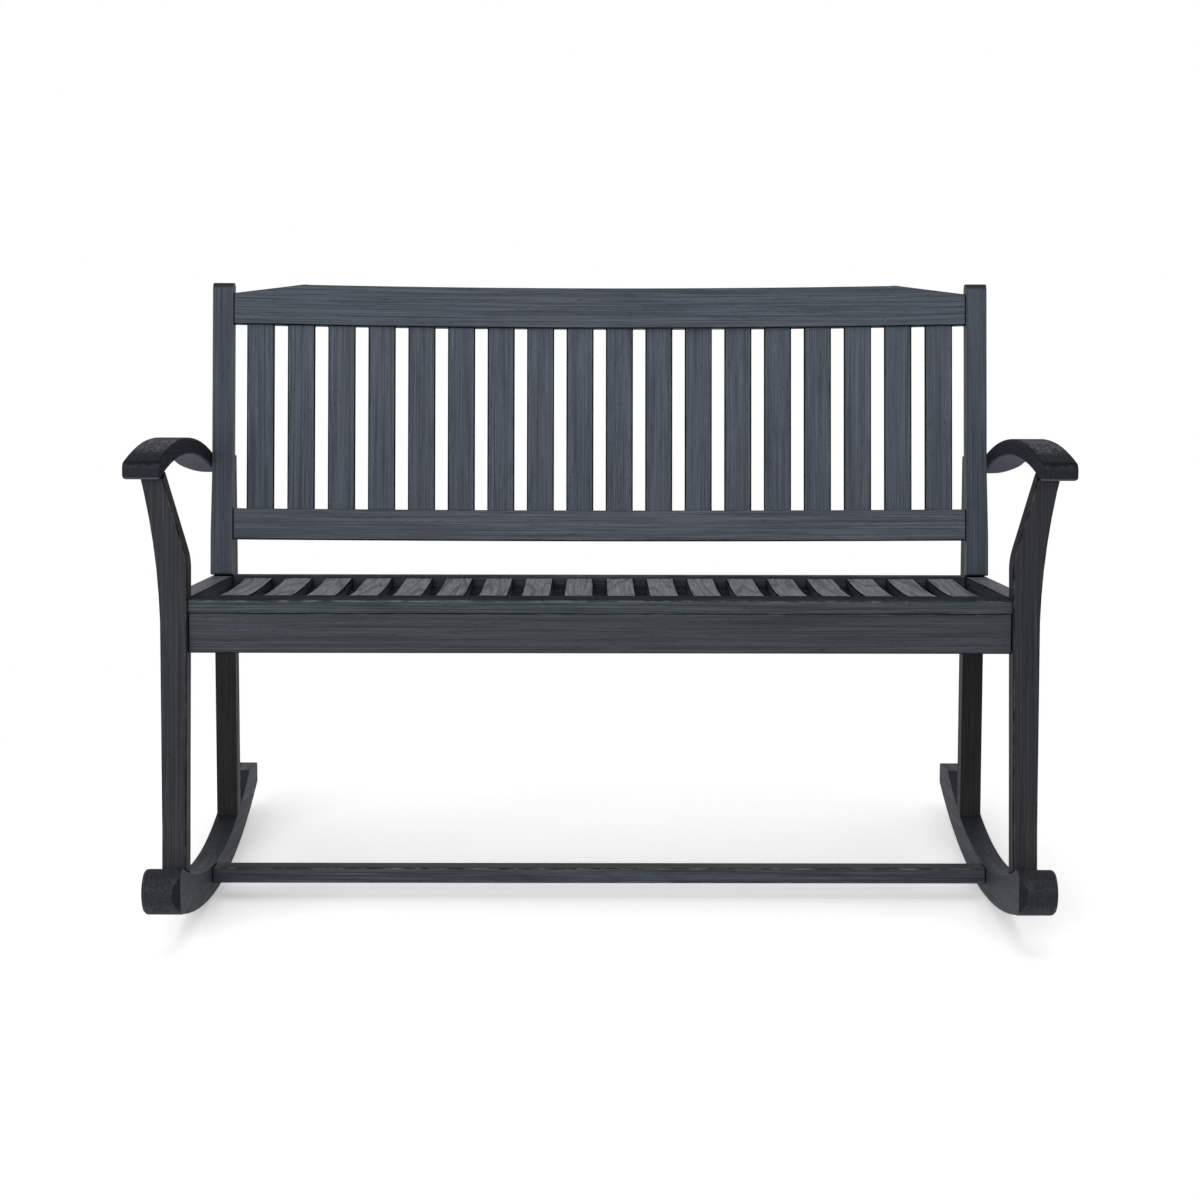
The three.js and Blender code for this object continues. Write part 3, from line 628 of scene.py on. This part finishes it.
def dress_seat():
    """The slats of the seat, and the boards and rails round it."""
    deep = lying(RECLINE)
    slats = Finish(tone="6c6f76", direction=deep, worn=0.5, figure=0.8, grain=1.4, top=1.0,
                   flank=0.1)
    dress("seat_slat", named("seat_slat"), slats, width=0.0020)
    board = Finish(tone="474c51", direction=ACROSS, worn=1.0, figure=0.15, grain=0.8, shine=0.0,
                   top=0.5, crevice=0.3, arris_wear_and_highlight=0.6)
    dress("seat_board", ["front_seat_board"], board)
    apron = Finish(tone="40444a", direction=ACROSS, figure=0.1, grain=0.8,
                   half_length=RAIL_HALF, shade_under_edges=True)
    dress("apron", ["front_apron"], apron, width=0.0016)
    sides = Finish(tone="4e5259", direction=deep, worn=0.8, top=1.35, grain=1.4, flank=0.25)
    dress("side_rail", named("seat_side_rail"), sides, width=0.0016)
    rear = Finish(tone="3c4149", direction=ACROSS, top=0.8)
    dress("rear_rail", ["rear_seat_rail"], rear, width=0.0016)
    ledgers = Finish(tone="24272b", direction=ACROSS)
    dress("ledger", ["front_slat_ledger", "rear_slat_ledger"], ledgers, width=0.0012)


def dress_base():
    """The legs, arms, rockers and stretcher."""
    deep = lying(RECLINE)
    front = Finish(tone="313337", direction=leaning(FRONT_LEG_LEAN), worn=1.0, brown=0.45,
                   figure=0.12, under=0.3, flank=0.5)
    dress("front_leg", named("front_leg"), front, width=0.0020)
    rear = Finish(tone="272729", direction=leaning(REAR_LEG_LEAN), worn=0.6, brown=0.3,
                  figure=0.15)
    dress("rear_leg", named("rear_leg"), rear)
    arms = Finish(tone="2c2f35", direction=deep, rough=0.55, shine=0.01, relief=0.12, figure=0.1,
                  grain=0.55, top=0.45, under=4.6, crest_sheen=0.6, pitted=0.12, arris_wear_and_highlight=0.25)
    dress("arm", named("arm"), arms, crisp=ARM_CRISP)
    rockers = Finish(tone="2b2e34", direction=deep, worn=0.9, figure=0.12, grain=1.1,
                     oblique=0.3, flank=1.7, pitted=0.25, arris_wear_and_highlight=0.3)
    dress("rocker", named("rocker"), rockers)
    stretcher = Finish(tone="474b52", direction=ACROSS, worn=0.9, figure=0.2, top=0.3,
                       half_length=RAIL_HALF, shade_under_edges=True)
    dress("stretcher", ["cross_stretcher"], stretcher, width=0.0018)


def turned_form(shape, rings, sides, point):
    """Adds a turned form from rings of radius and height, closed at its first ring.

    point gives the corner for two directions across the form and one along it.
    """
    angles = [2 * math.pi * i / sides for i in range(sides)]
    loops = [[shape.verts.new(point(radius * math.cos(angle), radius * math.sin(angle), height))
              for angle in angles] for radius, height in rings]
    for low, high in zip(loops, loops[1:]):
        for i in range(sides):
            shape.faces.new((low[i], low[i - 1], high[i - 1], high[i]))
    shape.faces.new(loops[0])
    return loops


def finished_mesh(shape, name, material):
    """The mesh of a closed form, with its faces turned outwards."""
    bmesh.ops.recalc_face_normals(shape, faces=shape.faces)
    mesh = bpy.data.meshes.new(name)
    shape.to_mesh(mesh)
    shape.free()
    mesh.materials.append(material)
    return mesh


def loop_edges(shape, loop):
    return [shape.edges.get((loop[i - 1], loop[i])) for i in range(len(loop))]


def crossed_head():
    """A pan-head screw, its head towards -Z, with a cross-shaped recess."""
    shape = bmesh.new()
    rings = [(share * SCREW_RADIUS, -height * SCREW_HEAD) for share, height in SCREW_RINGS]
    loops = turned_form(shape, rings, SCREW_SIDES, lambda x, y, z: (x, y, z))
    cross = []
    for turn in range(4):
        c, s = math.cos(turn * math.pi / 2), math.sin(turn * math.pi / 2)
        for across, along in ((-1, 1), (-1, SLOT_REACH), (1, SLOT_REACH)):
            x, y = across * c + along * s, -across * s + along * c
            cross.append((x * SCREW_SLOT, y * SCREW_SLOT))
    rim = [shape.verts.new((x, y, -SCREW_HEAD)) for x, y in cross]
    deep = [shape.verts.new((x * SLOT_FLOOR_WIDTH, y * SLOT_FLOOR_WIDTH,
                             -SLOT_FLOOR_HEIGHT * SCREW_HEAD)) for x, y in cross]
    for i in range(len(cross)):
        shape.faces.new((rim[i - 1], rim[i], deep[i], deep[i - 1]))
    shape.faces.new(deep)
    borders = loop_edges(shape, loops[-1]) + loop_edges(shape, rim)
    bmesh.ops.triangle_fill(shape, use_beauty=True, edges=borders)
    return finished_mesh(shape, "screw_head", bpy.data.materials["bolt_steel"])


def domed_plug(material):
    """A wooden plug that stands a little proud of its hole, its domed end towards -X."""
    shape = bmesh.new()
    rings = [(share * PLUG_RADIUS, -height * PLUG_PROUD) for share, height in PLUG_RINGS]
    loops = turned_form(shape, rings, PLUG_SIDES, lambda x, y, z: (z, x, y))
    shape.faces.new(loops[-1])
    mesh = finished_mesh(shape, "plug", material)
    mesh.shade_smooth()
    return mesh


def add_piece(name, mesh, place, turn):
    """A new piece that rides on the bench."""
    piece = bpy.data.objects.new(name, mesh)
    piece.matrix_world = Matrix.Translation(place) @ turn
    bpy.context.scene.collection.objects.link(piece)
    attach(piece, "root")


def true_height(low, high):
    """The height of a square bar from its box, when it is tilted by the recline."""
    deep, tall = high[1] - low[1], high[2] - low[2]
    c, s = math.cos(math.radians(RECLINE)), math.sin(math.radians(RECLINE))
    return (tall * c - deep * s) / (c * c - s * s)


def add_screws():
    """A screw under each end of every seat slat, through the ledgers."""
    head = crossed_head()
    tilt = Matrix.Rotation(math.radians(-RECLINE), 4, "X")
    for end in ("front", "rear"):
        low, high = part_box(f"{end}_slat_ledger")
        middle = Vector([(a + b) / 2 for a, b in zip(low, high)])
        under = middle + tilt @ Vector((0, 0, -true_height(low, high) / 2))
        for name in named("seat_slat"):
            slat_low, slat_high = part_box(name)
            place = Vector(((slat_low[0] + slat_high[0]) / 2, under.y, under.z))
            number = name.rsplit("_", 1)[1]
            spin = Matrix.Rotation(math.radians(SCREW_SPIN * int(number)), 4, "Z")
            add_piece(f"{end}_screw_{number}", head, place, tilt @ spin)


def add_plugs():
    """Wooden plugs over the fixings on the outer faces of the legs and rockers."""
    for side, sign in (("left", 1), ("right", -1)):
        for index, (family, y, z, x) in enumerate(PLUG_PLACES, 1):
            mesh = domed_plug(bpy.data.materials[f"{family}_face"])
            mirror = Matrix.Diagonal((sign, 1, 1, 1))
            add_piece(f"plug_{side}_{index}", mesh, (sign * x, y, z), mirror)


def seen_share(tree):
    """1 for rays that the camera, a reflection or glass sends, and 0 for the rest."""
    path = tree.add("ShaderNodeLightPath")
    either = tree.math("MAXIMUM", path.outputs["Is Camera Ray"], path.outputs["Is Glossy Ray"])
    return tree.math("MAXIMUM", either, path.outputs["Is Transmission Ray"])


def make_floor():
    """A white floor with a soft shadow near the bench, which is plain white further out."""
    material, tree = new_material("floor")
    place = tree.add("ShaderNodeTexCoord").outputs["Object"]
    distance = tree.add("ShaderNodeVectorMath", operation="LENGTH")
    tree.feed(distance, 0, place)
    seen = seen_share(tree)
    far = tree.product(tree.ramp(distance.outputs["Value"], *SHADOW_RANGE), seen)
    paint = tree.add("ShaderNodeBsdfDiffuse")
    unseen_paint = shade([FLOOR_PAINT] * 3, 1)
    tree.feed(paint, "Color", tree.mix(seen, unseen_paint, (*[FLOOR_GAIN] * 3, 1)))
    glow = tree.add("ShaderNodeEmission")
    tree.feed(glow, "Color", WHITE)
    tree.feed(glow, "Strength", tree.product(seen, FLOOR_GLOW))
    near = tree.add("ShaderNodeAddShader")
    tree.feed(near, 0, paint.outputs[0])
    tree.feed(near, 1, glow.outputs[0])
    plain = tree.add("ShaderNodeEmission")
    tree.feed(plain, "Color", WHITE)
    mixed = tree.add("ShaderNodeMixShader")
    tree.feed(mixed, 0, far)
    tree.feed(mixed, 1, near.outputs[0])
    tree.feed(mixed, 2, plain.outputs[0])
    tree.feed(tree.add("ShaderNodeOutputMaterial"), "Surface", mixed.outputs[0])

    mesh = bpy.data.meshes.new("floor")
    corners = [(x * FLOOR_REACH, y * FLOOR_REACH, -FLOOR_DROP)
               for x, y in ((-1, -1), (1, -1), (1, 1), (-1, 1))]
    mesh.from_pydata(corners, [], [(0, 1, 2, 3)])
    mesh.materials.append(material)
    floor = bpy.data.objects.new("floor", mesh)
    bpy.context.scene.collection.objects.link(floor)


def make_world():
    """White for the rays that are seen, and a plain soft light for the rest."""
    world = bpy.data.worlds.new("studio")
    world.use_nodes = True
    world.node_tree.nodes.clear()
    tree = Nodes(world.node_tree)
    sky = tree.add("ShaderNodeBackground")
    tree.feed(sky, "Color", WHITE)
    tree.feed(sky, "Strength", tree.ramp(seen_share(tree), 0.0, 1.0, AMBIENT, 1.0))
    tree.feed(tree.add("ShaderNodeOutputWorld"), "Surface", sky.outputs[0])
    bpy.context.scene.world = world


def make_lamp(name, place, aim, width, height, watts):
    lamp = bpy.data.lights.new(name, "AREA")
    lamp.shape = "RECTANGLE"
    lamp.size = width
    lamp.size_y = height
    lamp.energy = watts
    holder = bpy.data.objects.new(name, lamp)
    holder.location = place
    holder.rotation_euler = (Vector(aim) - Vector(place)).to_track_quat("-Z", "Y").to_euler()
    bpy.context.scene.collection.objects.link(holder)


def make_camera():
    data = bpy.data.cameras.new("camera")
    data.lens = CAMERA_LENS
    data.sensor_width = SENSOR_WIDTH
    camera = bpy.data.objects.new("camera", data)
    heading = Matrix.Rotation(math.radians(-CAMERA_YAW), 4, "Z")
    tilt = Matrix.Rotation(math.radians(90 - CAMERA_PITCH), 4, "X")
    roll = Matrix.Rotation(math.radians(CAMERA_ROLL), 4, "Z")
    camera.matrix_world = Matrix.Translation(CAMERA_PLACE) @ heading @ tilt @ roll
    bpy.context.scene.collection.objects.link(camera)
    bpy.context.scene.camera = camera


make_camera()
dress_back()
dress_seat()
dress_base()
steel = zinc_steel("bolt_steel")
for bolt in named("back_bolt"):
    use_materials(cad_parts[bolt], steel)
add_screws()
add_plugs()
make_floor()
make_world()
for lamp in LAMPS:
    make_lamp(*lamp)

bpy.context.scene.view_settings.view_transform = "Standard"
